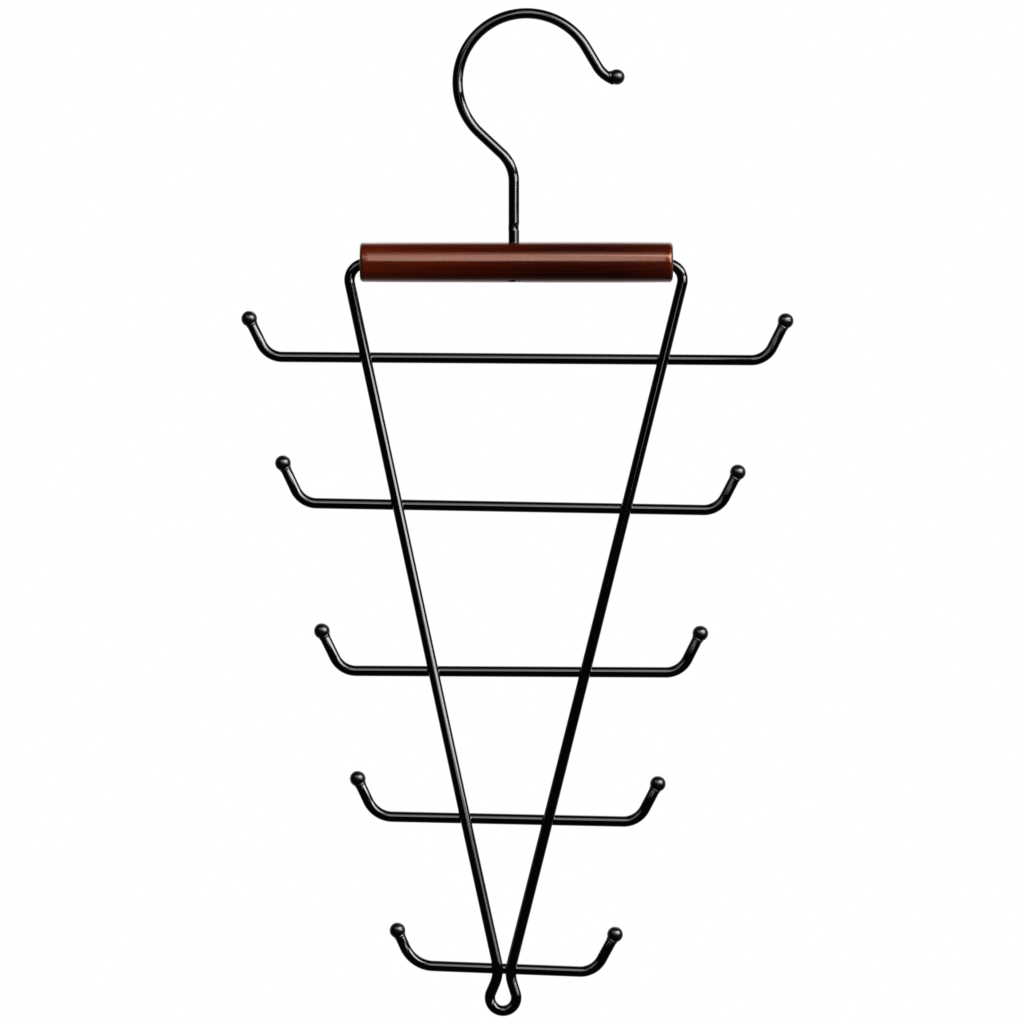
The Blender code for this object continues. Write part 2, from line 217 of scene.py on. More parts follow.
def softbox(
        name, azimuth_deg, elevation_deg, wide_deg, tall_deg, level, roll_deg=0,
        distance=LAMP_DISTANCE):
    """A rectangular lamp that faces the middle of the object and looks so wide and tall from there.

    Azimuth 0 is the camera's side and positive to its right."""
    azimuth = math.radians(azimuth_deg)
    elevation = math.radians(elevation_deg)
    towards = Vector((
        math.sin(azimuth) * math.cos(elevation),
        -math.cos(azimuth) * math.cos(elevation),
        math.sin(elevation),
    ))
    data = bpy.data.lights.new(name, "AREA")
    data.shape = "RECTANGLE"
    data.size = 2 * distance * math.tan(math.radians(wide_deg / 2))
    data.size_y = 2 * distance * math.tan(math.radians(tall_deg / 2))
    data.energy = level * math.pi * data.size * data.size_y
    lamp = bpy.data.objects.new(name, data)
    bpy.context.scene.collection.objects.link(lamp)
    lamp.location = PICTURE_MIDDLE + towards * distance
    roll = Matrix.Rotation(math.radians(roll_deg), 3, "Z")
    lamp.rotation_euler = (towards.to_track_quat("Z", "Y").to_matrix() @ roll).to_euler()
    lamp.visible_camera = False


# Name, azimuth, elevation, width and height in degrees, and level
softbox("key_low", 51, 10.2, 44, 8, 5.6, roll_deg=5)
softbox("key_low_skirt", 54, 3.0, 46, 5, 1.7)
softbox("key_middle", 38, 28, 46, 16, 6.8)
softbox("key_wide", 72, 30, 28, 10, 3.4)
softbox("key_high", 36, 41.5, 52, 10, 3.0)
softbox("left_softbox", -26, 31, 34, 20, 0.9, roll_deg=-15)
softbox("front_strip_1", -0.5, 17, 8.5, 18, 2.1)
softbox("front_strip_2", -0.5, 31, 8.5, 10, 1.6)
softbox("front_strip_3", -0.5, 41, 8.5, 10, 1.2)
softbox("front_strip_4", -0.5, 52, 8.5, 12, 0.5)
softbox("low_card", 16, 1.2, 10, 3.5, 2.2)
softbox("back_fill", 165, 40, 36, 24, 0.8, distance=BACK_LAMP_DISTANCE)

# %% [markdown]
# ## The floor
# The hanger hangs, so the floor lies well below it. It is a plain disc that the camera meets
# only in views from above. A glow that only the camera sees makes it nearly as pale as the
# backdrop, and the paint under the glow takes the object's soft shadow. The helper comes first,
# as every piece after the floor needs it too.

# %% Helper for objects
def to_object(name, work):
    """Turns a bmesh into an object of the scene."""
    mesh = bpy.data.meshes.new(name)
    work.to_mesh(mesh)
    work.free()
    made = bpy.data.objects.new(name, mesh)
    bpy.context.scene.collection.objects.link(made)
    return made


print("helper ready: to_object")

# %% Floor
FLOOR_HEIGHT = -0.70
FLOOR_RADIUS = 4.0
FLOOR_SIDES = 96
FLOOR_GLOW = 0.86

paint, tree, shader = new_finish("pale_matt_floor_paint")
set_shader(tree, shader, Base_Color=linear("#7C7C7B"), Roughness=0.9, Specular_IOR_Level=0.1)
rays = add_node(tree, "ShaderNodeLightPath")
glow = calculate(tree, "MULTIPLY", rays.outputs["Is Camera Ray"], FLOOR_GLOW)
set_shader(tree, shader, Emission_Color=linear("#FFFFFF"), Emission_Strength=glow)

work = bmesh.new()
bmesh.ops.create_circle(
    work, cap_ends=True, segments=FLOOR_SIDES, radius=FLOOR_RADIUS,
    matrix=Matrix.Translation((PICTURE_MIDDLE.x, 0, FLOOR_HEIGHT)))
floor = to_object("floor", work)
floor.data.materials.append(paint)
floor.visible_glossy = False
floor.visible_diffuse = False
print("floor at", FLOOR_HEIGHT, "m")

# %% [markdown]
# ## Gloss black coated wire
# The hook, the long frame wire and the crossbars are 4 mm low-carbon steel wire, bent and
# welded, then powder coated in gloss black. A powder coat flows out almost level: it keeps a
# faint orange peel a millimetre or two across and mirrors a lamp as a clean, slightly soft
# strip. A thin clear coat over a near-black base gives that strip its brightness.

# %% Gloss black powder coat
PEEL_WIDTH = 1.8 * MM
PEEL_DEPTH = 0.002 * MM
HANDLING_WIDTH = 14 * MM

black_wire, tree, shader = new_finish("gloss_black_powder_coat")
place = add_node(tree, "ShaderNodeTexCoord").outputs["Object"]
peel = add_noise(tree, place, PEEL_WIDTH, 1.0, 0.4)
relief = add_node(
    tree, "ShaderNodeBump", Strength=1.0, Distance=PEEL_DEPTH, Height=peel.outputs["Fac"])
handling = add_noise(tree, place, HANDLING_WIDTH, 3.0, 0.55)
set_shader(
    tree, shader, Base_Color=linear("#020202"), Roughness=spread(tree, handling, 0.07, 0.12), IOR=1.5,
    Normal=relief.outputs["Normal"], Coat_Weight=1.0, Coat_Roughness=0.04, Coat_IOR=1.6)
print("made", black_wire.name)

# %% [markdown]
# ## Gloss black moulded caps
# The balls are small vinyl caps, moulded or dipped over the wire's ends. They are as black as the
# wire, a little softer in gloss, and faintly uneven, so a lamp shows on them as a soft blob.

# %% Gloss black vinyl
RIPPLE_WIDTH = 2.4 * MM
RIPPLE_DEPTH = 0.05 * MM

black_cap, tree, shader = new_finish("gloss_black_vinyl")
place = add_node(tree, "ShaderNodeTexCoord").outputs["Object"]
flow = add_noise(tree, place, RIPPLE_WIDTH, 2.0, 0.5)
relief = add_node(
    tree, "ShaderNodeBump", Strength=1.0, Distance=RIPPLE_DEPTH, Height=flow.outputs["Fac"])
set_shader(
    tree, shader, Base_Color=linear("#020202"), Roughness=spread(tree, flow, 0.28, 0.36), IOR=1.5,
    Normal=relief.outputs["Normal"], Coat_Weight=1.0, Coat_Roughness=0.22, Coat_IOR=1.8)
print("made", black_cap.name)

# %% [markdown]
# ## Bright zinc plate
# The washer is a stock steel part, plated by the barrel load. Bright zinc is a bluish silver with
# the fine scuffs that the pieces give each other as they tumble.

# %% Bright zinc plate
SCUFF_WIDTH = 0.4 * MM
SCUFF_DEPTH = 0.01 * MM

zinc_plate, tree, shader = new_finish("bright_zinc_plate")
place = add_node(tree, "ShaderNodeTexCoord").outputs["Object"]
scuffs = add_noise(tree, place, SCUFF_WIDTH, 4.0, 0.6)
tone = add_node(tree, "ShaderNodeValToRGB", Fac=scuffs.outputs["Fac"])
set_ramp(tone, ((0.3, "#A9ADB2"), (0.7, "#CDD0D3")))
gloss = spread(tree, scuffs, 0.25, 0.42)
relief = add_node(
    tree, "ShaderNodeBump", Strength=1.0, Distance=SCUFF_DEPTH, Height=scuffs.outputs["Fac"])
set_shader(
    tree, shader, Base_Color=tone.outputs["Color"], Metallic=1.0, Roughness=gloss,
    Normal=relief.outputs["Normal"])
print("made", zinc_plate.name)

# %% [markdown]
# ## Stained and lacquered beech
# The handle is a beech dowel, turned, stained a dark mahogany red and sprayed with clear lacquer.
# Beech shows fine fibres along the dowel, broader streaks and short dark flecks. All three are
# the same noise, stretched along the dowel by different amounts.

# %% Fibres, streaks and flecks
FIBRE_WIDTH = 0.55 * MM
FIBRE_LENGTH = 16 * MM
STREAK_WIDTH = 1.7 * MM
STREAK_LENGTH = 48 * MM
FLECK_WIDTH = 0.35 * MM
FLECK_LENGTH = 3.5 * MM


def along_grain(tree, place, length, width):
    """A noise whose patches are long in X, the way the fibres run, and narrow across."""
    stretch = add_node(
        tree, "ShaderNodeMapping", Vector=place, Scale=(1 / length, 1 / width, 1 / width))
    return add_noise(tree, stretch.outputs["Vector"], 1.0, 3.0, 0.6)


stained_wood, tree, shader = new_finish("mahogany_stained_beech")
place = add_node(tree, "ShaderNodeTexCoord").outputs["Object"]
fibres = along_grain(tree, place, FIBRE_LENGTH, FIBRE_WIDTH)
streaks = along_grain(tree, place, STREAK_LENGTH, STREAK_WIDTH)
flecks = along_grain(tree, place, FLECK_LENGTH, FLECK_WIDTH)
print("grain widths:", [round(width / MM, 2) for width in (FIBRE_WIDTH, STREAK_WIDTH, FLECK_WIDTH)], "mm")

# %% [markdown]
# ## Growth rings
# Rings painted on a surface would break at its edges. These are worked out in space, round a
# pith that lies outside the dowel, so they run along its side as long flames and cross its ends
# as arcs. A slow noise makes them wander.

# %% Growth rings
RING_WIDTH = 2.6 * MM
PITH = Vector((0, 34 * MM, 27 * MM))
WANDER_WIDTH = 30 * MM
WANDER_REACH = 6 * MM
RING_DRIFT_ALONG = 0.02

wander = add_noise(tree, place, WANDER_WIDTH, 2.0, 0.5)
offset = add_node(
    tree, "ShaderNodeVectorMath", {"operation": "MULTIPLY_ADD"}, in0=wander.outputs["Color"],
    in1=(0, WANDER_REACH, WANDER_REACH), in2=place)
across = add_node(
    tree, "ShaderNodeMapping", {"vector_type": "TEXTURE"}, Vector=offset.outputs["Vector"],
    Location=PITH)
flat = add_node(
    tree, "ShaderNodeVectorMath", {"operation": "MULTIPLY"}, in0=across.outputs["Vector"],
    in1=(RING_DRIFT_ALONG, 1, 1))
reach = add_node(tree, "ShaderNodeVectorMath", {"operation": "LENGTH"}, in0=flat.outputs["Vector"])
turns = calculate(tree, "MULTIPLY", reach.outputs["Value"], 2 * math.pi / RING_WIDTH)
rings = calculate(tree, "SINE", turns)
print("rings", RING_WIDTH / MM, "mm apart")

# %% [markdown]
# ## The stain
# The colour changes along the dowel: it is lightest at the left end and darkest in the middle of
# the right half. A ramp along its length gives that colour. Rings, streaks and fibres add up to one tone
# that darkens it a little, and the flecks darken it in spots.

# %% Stain
RING_WEIGHT = 0.05
FIBRE_WEIGHT = 0.7
DOWEL_LEFT = -66.7 * MM
DOWEL_RIGHT = 58.5 * MM
# The colour at places along the dowel, lighter at the left end and darkest right of the middle
DOWEL_COLOURS = (
    (0.0, "#74260F"), (0.22, "#661B0A"), (0.38, "#5C1508"), (0.64, "#400D04"), (0.83, "#420E06"),
    (1.0, "#5E1B0D"))

sum_streaks = calculate(tree, "MULTIPLY_ADD", rings, RING_WEIGHT, streaks.outputs["Fac"])
sum_fibres = calculate(tree, "MULTIPLY_ADD", fibres.outputs["Fac"], FIBRE_WEIGHT, sum_streaks)
depth = add_node(tree, "ShaderNodeMapRange", Value=sum_fibres, From_Min=0.62, From_Max=1.08)
along = add_node(tree, "ShaderNodeSeparateXYZ", Vector=place)
share = add_node(
    tree, "ShaderNodeMapRange", Value=along.outputs["X"], From_Min=DOWEL_LEFT, From_Max=DOWEL_RIGHT)
# The dowel's colour along its length: lightest at the left end, darkest in the middle of the right half
dowel_colour = add_node(tree, "ShaderNodeValToRGB", Fac=share.outputs["Result"])
set_ramp(dowel_colour, DOWEL_COLOURS)
tone = add_node(tree, "ShaderNodeValToRGB", Fac=depth.outputs["Result"])
set_ramp(tone, ((0.0, "#BEBEBE"), (1.0, "#FFFFFF")))
stain = add_node(
    tree, "ShaderNodeMix", {"data_type": "RGBA", "blend_type": "MULTIPLY"},
    in0=1.0, in6=dowel_colour.outputs["Color"], in7=tone.outputs["Color"])
fleck_depth = add_node(
    tree, "ShaderNodeMapRange", Value=flecks.outputs["Fac"], From_Min=0.58, From_Max=0.72,
    To_Min=0.0, To_Max=0.6)
flecked = add_node(
    tree, "ShaderNodeMix", {"data_type": "RGBA", "blend_type": "MULTIPLY"},
    in0=fleck_depth.outputs["Result"], in6=stain.outputs[2], in7=linear("#8A6A60"))
print("stain colours along the dowel:", len(DOWEL_COLOURS))

# %% [markdown]
# ## The lacquer
# Under the lacquer the stained fibres shine a warm red, and over it the clear coat mirrors the
# lamp. The cut ends are duller than the side, so the distance from the middle adds to the
# roughness there.

# %% Lacquer
GRAIN_DEPTH = 0.012 * MM
# Where the end grain starts and is whole, as shares of the length from the middle
END_GRAIN_FROM = 0.487
END_GRAIN_TO = 0.494
END_GRAIN_DULLNESS = 0.2

relief = add_node(
    tree, "ShaderNodeBump", Strength=1.0, Distance=GRAIN_DEPTH, Height=sum_fibres)
sheen = spread(tree, fibres, 0.20, 0.28)
to_an_end = calculate(tree, "ABSOLUTE", calculate(tree, "SUBTRACT", share.outputs["Result"], 0.5))
end_grain = add_node(
    tree, "ShaderNodeMapRange", Value=to_an_end, From_Min=END_GRAIN_FROM, From_Max=END_GRAIN_TO,
    To_Min=0.0, To_Max=END_GRAIN_DULLNESS)
dullness = calculate(tree, "ADD", sheen, end_grain.outputs["Result"])
set_shader(
    tree, shader, Base_Color=flecked.outputs[2], Roughness=dullness, IOR=1.72,
    Specular_IOR_Level=1.0, Specular_Tint=linear("#FF8A48"), Normal=relief.outputs["Normal"],
    Coat_Weight=1.0, Coat_Roughness=0.12, Coat_IOR=1.64, Coat_Normal=relief.outputs["Normal"])
print("made", stained_wood.name)

# %% [markdown]
# ## Bending wire
# A wire is a round section that goes straight and turns, as it does in a bending machine. So a
# ring of edges is the tool: it is extruded along each straight run and spun round the centre of
# each bend. The coat makes the 4 mm wire 4.34 mm across.

# %% Helpers for a ring of edges
WIRE_DIAMETER = 4.0 * MM
COAT_THICKNESS = 0.17 * MM
WIRE_RADIUS = WIRE_DIAMETER / 2 + COAT_THICKNESS
WIRE_SIDES = 40


def polar(angle_deg, radius=1.0):
    """A vector in the XZ plane at an angle from +X towards +Z."""
    angle = math.radians(angle_deg)
    return Vector((math.cos(angle), 0, math.sin(angle))) * radius


def angle_of(vector):
    return math.degrees(math.atan2(vector.z, vector.x))


def edges_among(work, verts):
    chosen = set(verts)
    return [edge for edge in work.edges if edge.verts[0] in chosen and edge.verts[1] in chosen]


def verts_in(geometry):
    return [part for part in geometry if isinstance(part, bmesh.types.BMVert)]


def first_ring(work, place, heading):
    """The ring of edges that a wire starts from, square to its heading."""
    square = heading.to_track_quat("Z", "Y").to_matrix().to_4x4()
    made = bmesh.ops.create_circle(
        work, segments=WIRE_SIDES, radius=WIRE_RADIUS, matrix=Matrix.Translation(place) @ square)
    return edges_among(work, made["verts"])


print("a wire starts from a ring of", WIRE_SIDES, "edges")

# %% [markdown]
# ## Straight runs and bends
# A move of the wire is a point to run straight to, or a centre and an angle to turn about it.
# Each move pulls new faces out of the last ring, so the wire stays one unbroken skin and every
# bend is a true arc.

# %% Helpers for runs and bends
BEND_STEP_DEG = 3


def bend_steps(turn_deg):
    return max(2, math.ceil(abs(turn_deg) / BEND_STEP_DEG))


def run_straight(work, ring, travel):
    made = bmesh.ops.extrude_edge_only(work, edges=ring)
    verts = verts_in(made["geom"])
    bmesh.ops.translate(work, verts=verts, vec=travel)
    return edges_among(work, verts)


def run_round(work, ring, centre, turn_deg):
    """Spins the ring round a centre in the XZ plane; a positive turn goes from +X towards +Z."""
    made = bmesh.ops.spin(
        work, geom=ring, cent=centre, axis=(0, -1, 0), dvec=(0, 0, 0), angle=math.radians(turn_deg),
        steps=bend_steps(turn_deg), use_merge=False, use_normal_flip=False, use_duplicate=False)
    return edges_among(work, verts_in(made["geom_last"]))


def bend_wire(work, start, moves):
    """A wire from start along its moves: a point is a straight run, (centre, turn) a bend.

    Returns the ring at each end."""
    here = start
    first = first_ring(work, start, (moves[0] - start).normalized())
    ring = first
    for move in moves:
        if isinstance(move, Vector):
            ring = run_straight(work, ring, move - here)
            here = move
        else:
            centre, turn_deg = move
            ring = run_round(work, ring, centre, turn_deg)
            here = centre + Matrix.Rotation(math.radians(turn_deg), 3, (0, -1, 0)) @ (here - centre)
    return first, ring


print("a bend takes a step each", BEND_STEP_DEG, "degrees")

# %% [markdown]
# ## Corners and cut ends
# On a drawing of bent wire it is easier to say where two straight runs would meet than where the
# bend between them starts. One helper works out the bend that rounds such a corner, and one
# closes a cut end and rounds its edge, as a tumbler or the coat does.

# %% Helpers for corners and cut ends
def corner_moves(before, corner, after, radius):
    """The straight run up to a bend that rounds a corner, and the bend."""
    back = (before - corner).normalized()
    on = (after - corner).normalized()
    half = back.angle(on) / 2
    start = corner + back * (radius / math.tan(half))
    centre = corner + (back + on).normalized() * (radius / math.sin(half))
    end = corner + on * (radius / math.tan(half))
    turn = (angle_of(end - centre) - angle_of(start - centre) + 180) % 360 - 180
    return [start, (centre, turn)]


def cap_end(work, ring, rounding):
    """Closes a wire's cut end and rounds its edge."""
    made = bmesh.ops.edgeloop_fill(work, edges=ring)
    edges = [edge for face in made["faces"] for edge in face.edges]
    bmesh.ops.bevel(
        work, geom=edges, offset=rounding, offset_type="OFFSET", segments=3, profile=0.5,
        affect="EDGES", material=-1, clamp_overlap=True)


print("helpers ready: corner_moves, cap_end")

# %% [markdown]
# ## Finishing a piece
# Every piece ends the same way: its doubles are merged, its faces are turned outwards, it is
# shaded smooth but for its sharp edges, and it is hung on the body that it moves with, in place
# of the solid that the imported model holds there.

# %% Helper to finish a piece
MERGE_DISTANCE = 0.001 * MM
SHARP_DEG = 35


def finish_piece(name, work, finish, body, node=None, sharp_deg=SHARP_DEG):
    bmesh.ops.remove_doubles(work, verts=work.verts, dist=MERGE_DISTANCE)
    bmesh.ops.recalc_face_normals(work, faces=work.faces)
    piece = to_object(name, work)
    piece.data.shade_smooth()
    piece.data.set_sharp_from_angle(angle=math.radians(sharp_deg))
    piece.data.materials.append(finish)
    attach(piece, body)
    if node:
        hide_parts(node)
        report_fit(piece, node)


def report_fit(piece, node):
    """Prints how far the piece's box is from the box of the solid that it replaces."""
    corners = [Vector(corner) for corner in piece.bound_box]
    low = Vector(map(min, zip(*corners)))
    high = Vector(map(max, zip(*corners)))
    cad_low, cad_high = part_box(node)
    apart = [*(low - cad_low), *(high - cad_high)]
    print(f"{piece.name}: {len(piece.data.polygons)} faces, off its solid's box by",
          [round(gap / MM, 2) for gap in apart], "mm")


print("helpers ready: finish_piece, report_fit")

# %% [markdown]
# ## Turned pieces
# A ball, a washer and the handle are round about one axis, so each is a profile spun through a
# full turn. The profile runs along +Z and is then laid along the axis that the piece needs.

# %% Helper for turned pieces
def turn_profile(work, profile, sides, closed=False):
    """Spins (radius, height) pairs about Z. Returns the new vertices."""
    verts = [work.verts.new((radius, 0, height)) for radius, height in profile]
    following = verts[1:] + (verts[:1] if closed else [])
    edges = [work.edges.new(pair) for pair in zip(verts, following)]
    bmesh.ops.spin(
        work, geom=verts + edges, cent=(0, 0, 0), axis=(0, 0, 1), dvec=(0, 0, 0), angle=2 * math.pi,
        steps=sides, use_merge=True, use_normal_flip=False, use_duplicate=False)
    bmesh.ops.remove_doubles(work, verts=work.verts, dist=MERGE_DISTANCE)
    return list(work.verts)


def arc_profile(centre, radius, start_deg, end_deg, steps):
    """Points of a profile on an arc; 0 degrees is outwards and 90 up."""
    points = []
    for step in range(steps + 1):
        angle = math.radians(start_deg + (end_deg - start_deg) * step / steps)
        points.append((centre[0] + radius * math.cos(angle), centre[1] + radius * math.sin(angle)))
    return points


print("helpers ready: turn_profile, arc_profile")

# %% [markdown]
# ## The places that the pieces share
# The hook swivels about its stem, and the frame swings about the two bores in the handle's
# ends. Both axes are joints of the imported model, so they are read from it.

# %% Shared places
joints = {joint["name"]: joint for joint in frame["joints"]}
SWIVEL = Vector(joints["hook_swivel"]["pos_m"])
PIVOT = Vector(joints["frame_swing"]["pos_m"])
CLEARANCE = 0.3 * MM
BORE_RADIUS = WIRE_DIAMETER / 2 + CLEARANCE

HANDLE_LENGTH = 125.2 * MM
HANDLE_RADIUS = 8.0 * MM
HEAD_THICKNESS = 1.45 * MM
# Below 0, the head stands out under the wood
HEAD_INSET = -0.15 * MM
HEAD_BOTTOM = HEAD_INSET - HANDLE_RADIUS
HEAD_TOP = HEAD_BOTTOM + HEAD_THICKNESS
WASHER_BOTTOM = HEAD_TOP + CLEARANCE
WASHER_THICKNESS = 0.6 * MM
WASHER_TOP = WASHER_BOTTOM + WASHER_THICKNESS
COUNTERBORE_FLOOR = WASHER_TOP + CLEARANCE
BORE_SIDES = 64
print("swivel axis at", [round(c, 4) for c in SWIVEL])
print("frame pivot at", [round(c, 4) for c in PIVOT])

# %% [markdown]
# ## The hook wire
# One wire makes the crook, the throat and the stem. Its route starts at the foot and goes up the
# stem, over the throat, round the crook and out to the tip. A close row of rings is laid where
# the stop will be, so that it has points to move.

# %% Route of the hook wire
CROOK_CENTRE = Vector((0, 0, -25.6 * MM))
CROOK_RADIUS = 27.6 * MM
THROAT_DEG = 47
THROAT_BEND_RADIUS = 15.6 * MM
CROOK_END_DEG = 30.7
TIP_RUN = 13.56 * MM
TIP_BEND_RADIUS = 13.0 * MM
TIP_HEADING_DEG = -18.4
TIP_END = Vector((33.9 * MM, 0, -24.3 * MM))
STOP_HEIGHT = 5.7 * MM
STOP_MIDDLE = SWIVEL + Vector((0, 0, HANDLE_RADIUS + STOP_HEIGHT))
STOP_LENGTH = 4.8 * MM
STOP_RINGS = 48


def hook_moves():
    """The hook's foot, and its moves from there up the stem and round the crook to the tip."""
    foot = SWIVEL + Vector((0, 0, HEAD_TOP))
    stop_low = STOP_MIDDLE - Vector((0, 0, STOP_LENGTH / 2))
    rings = [
        stop_low + Vector((0, 0, STOP_LENGTH * ring / STOP_RINGS)) for ring in range(STOP_RINGS + 1)]
    meet = CROOK_CENTRE + polar(180 + THROAT_DEG, CROOK_RADIUS)
    drop = (SWIVEL.x - meet.x) / math.tan(math.radians(THROAT_DEG))
    throat = corner_moves(foot, Vector((SWIVEL.x, 0, meet.z - drop)), meet, THROAT_BEND_RADIUS)
    crook_end = CROOK_CENTRE + polar(CROOK_END_DEG, CROOK_RADIUS)
    tip_corner = crook_end + polar(CROOK_END_DEG - 90, TIP_RUN)
    tip_end = tip_corner + polar(TIP_HEADING_DEG, (TIP_END - tip_corner).length)
    crook = (CROOK_CENTRE, CROOK_END_DEG - THROAT_DEG - 180)
    tip = corner_moves(crook_end, tip_corner, tip_end, TIP_BEND_RADIUS)
    return foot, [*rings, *throat, meet, crook, *tip, tip_end]


foot, moves = hook_moves()
print("the hook wire makes", len(moves), "moves from its foot")

# %% [markdown]
# ## The pinched stop
# A blow with a die pinches the stem above the wood, which leaves a dent in front and an ear at
# each side that is too wide for the bore: the wood can't climb past them. Metal only moves in a
# blow like that, none is added, so the points of the stem are moved in and out.

# %% Helpers for the stop
# Where the die struck, how wide round the stem and how deep, how far the dent reaches above and
# below as shares of the stop's length, and the two ears that it raised
DENT_FACING_DEG = 56
DENT_WIDTH_DEG = 75
DENT_DEPTH = 0.55 * MM
DENT_REACH_ABOVE = 0.45
DENT_REACH_BELOW = 0.25
EARS = ((112, 0.42 * MM), (-112, 0.14 * MM))
EAR_WIDTH_DEG = 60


def hump(distance, width):
    """1 in the middle, falling smoothly to 0 at the width."""
    return math.cos(math.pi / 2 * min(abs(distance) / width, 1)) ** 2


def pinch_stop(work):
    """Strikes a dent into the stem: gently sloped above, steep below, with an ear at each side."""
    for vert in work.verts:
        away = vert.co - STOP_MIDDLE
        side = Vector((away.x, away.y, 0))
        if abs(away.z) >= STOP_LENGTH / 2 or side.length > 2 * WIRE_RADIUS:
            continue
        facing = math.degrees(math.atan2(side.x, -side.y)) - DENT_FACING_DEG
        facing = (facing + 180) % 360 - 180
        reach = STOP_LENGTH * (DENT_REACH_ABOVE if away.z > 0 else DENT_REACH_BELOW)
        depth = DENT_DEPTH * hump(away.z, reach) * hump(facing, DENT_WIDTH_DEG)
        rise = sum(height * hump(facing - middle, EAR_WIDTH_DEG) for middle, height in EARS)
        vert.co += side.normalized() * (rise * hump(away.z, STOP_LENGTH / 2) - depth)


print("the stop is", STOP_LENGTH / MM, "mm long")

# %% [markdown]
# ## The peened head
# The lower end was peened to a head over the washer. The ring at the foot is drawn down in small
# steps and scaled at each, which follows the way a hammered end spreads.

# %% Hook wire
HEAD_RADIUS = 3.3 * MM
HEAD_RIM = 1.2 * MM
HEAD_EDGE = 0.1 * MM
TIP_ROUNDING = 0.35 * MM


def peen_head(work, ring, foot):
    """Spreads the stem's foot to a head with a short rim and a domed face."""
    dome = HEAD_THICKNESS - HEAD_RIM
    steps = [(HEAD_RADIUS - HEAD_EDGE, 0), (HEAD_RADIUS, HEAD_EDGE), (HEAD_RADIUS, HEAD_RIM)]
    for degrees in range(10, 90, 10):
        turn = math.radians(degrees)
        steps.append((HEAD_RADIUS * math.cos(turn), HEAD_RIM + dome * math.sin(turn)))
    here = foot
    radius = WIRE_RADIUS
    for wide, down in steps:
        there = foot - Vector((0, 0, down))
        ring = run_straight(work, ring, there - here)
        verts = list({vert: None for edge in ring for vert in edge.verts})
        bmesh.ops.scale(work, verts=verts, vec=(wide / radius,) * 3, space=Matrix.Translation(-there))
        here = there
        radius = wide
    cap_end(work, ring, HEAD_EDGE)


work = bmesh.new()
foot_ring, tip_ring = bend_wire(work, foot, moves)
pinch_stop(work)
cap_end(work, tip_ring, TIP_ROUNDING)
peen_head(work, foot_ring, foot)
finish_piece("powder_coated_hook_wire", work, black_wire, "hook", "hook_wire")

# %% [markdown]
# ## The ball caps
# A cap is a ball with a short collar. Where it was moulded over the wire its collar flows down
# onto the wire in a small fillet, and the wire's strip of light stops at its lip.

# %% Ball caps
BALL_RADIUS = 3.2 * MM
BALL_SIDES = 40
BALL_STEPS = 24
COLLAR_RADIUS = 2.35 * MM
COLLAR_TAPER = 0.02 * MM
COLLAR_LENGTH = 0.25 * MM
FILLET_RADIUS = 0.6 * MM
FILLET_DROP = 0.75 * MM
FILLET_STEPS = 6
LIP_RADIUS = WIRE_RADIUS + 0.03 * MM
LIP_LENGTH = 0.15 * MM
LIP_BITE = 0.2 * MM


def ball_profile():
    """From the crown down over the collar to the lip on the wire, and in under the lip."""
    collar_deg = -math.degrees(math.acos(COLLAR_RADIUS / BALL_RADIUS))
    ball = arc_profile((0, 0), BALL_RADIUS, 90, collar_deg, BALL_STEPS)
    collar = (COLLAR_RADIUS - COLLAR_TAPER, ball[-1][1] - COLLAR_LENGTH)
    fillet_centre = (LIP_RADIUS + FILLET_RADIUS, collar[1] - FILLET_DROP)
    fillet = arc_profile(fillet_centre, FILLET_RADIUS, 130, 185, FILLET_STEPS)
    under_lip = (WIRE_RADIUS - LIP_BITE, fillet[-1][1] - LIP_LENGTH)
    return [(0, BALL_RADIUS), *ball[1:], collar, *fillet, under_lip]


def add_ball(name, middle, outwards, body, node):
    """A ball cap about a point, its crown turned outwards."""
    work = bmesh.new()
    verts = turn_profile(work, ball_profile(), BALL_SIDES)
    rim = [edge for edge in work.edges if edge.is_boundary]
    bmesh.ops.edgeloop_fill(work, edges=rim)
    place = Matrix.Translation(middle) @ outwards.to_track_quat("Z", "Y").to_matrix().to_4x4()
    bmesh.ops.transform(work, verts=verts, matrix=place)
    finish_piece(name, work, black_cap, body, node, sharp_deg=60)


HOOK_BALL = Vector((36.07 * MM, 0, -23.46 * MM))
add_ball("vinyl_hook_tip_ball", HOOK_BALL, polar(-4), "hook", "hook_tip_ball")

# %% [markdown]
# ## The swivel washer
# A small plain washer takes the wear between the turning head and the wood above it.

# %% Swivel washer
WASHER_RADIUS = 3.3 * MM
WASHER_EDGE = 0.1 * MM

work = bmesh.new()
washer = turn_profile(work, [
    (BORE_RADIUS + WASHER_EDGE, WASHER_TOP),
    (WASHER_RADIUS - WASHER_EDGE, WASHER_TOP),
    (WASHER_RADIUS, WASHER_TOP - WASHER_EDGE),
    (WASHER_RADIUS, WASHER_BOTTOM + WASHER_EDGE),
    (WASHER_RADIUS - WASHER_EDGE, WASHER_BOTTOM),
    (BORE_RADIUS + WASHER_EDGE, WASHER_BOTTOM),
    (BORE_RADIUS, WASHER_BOTTOM + WASHER_EDGE),
    (BORE_RADIUS, WASHER_TOP - WASHER_EDGE),
], BORE_SIDES, closed=True)
bmesh.ops.translate(work, verts=washer, vec=SWIVEL)
finish_piece(
    "plated_swivel_washer", work, zinc_plate, "swivel_washer", "swivel_washer")

# %% [markdown]
# ## The handle
# The handle is a dowel with rounded ends, hand-sanded so that it is a shade thinner at its left
# end. It is round about one axis, so it is turned from a profile like the balls.

# %% The dowel
HANDLE_MIDDLE = SWIVEL + Vector((1.0 * MM, 0, 0))
END_ROUNDING = 1.6 * MM
END_STEPS = 8
HANDLE_SIDES = 128
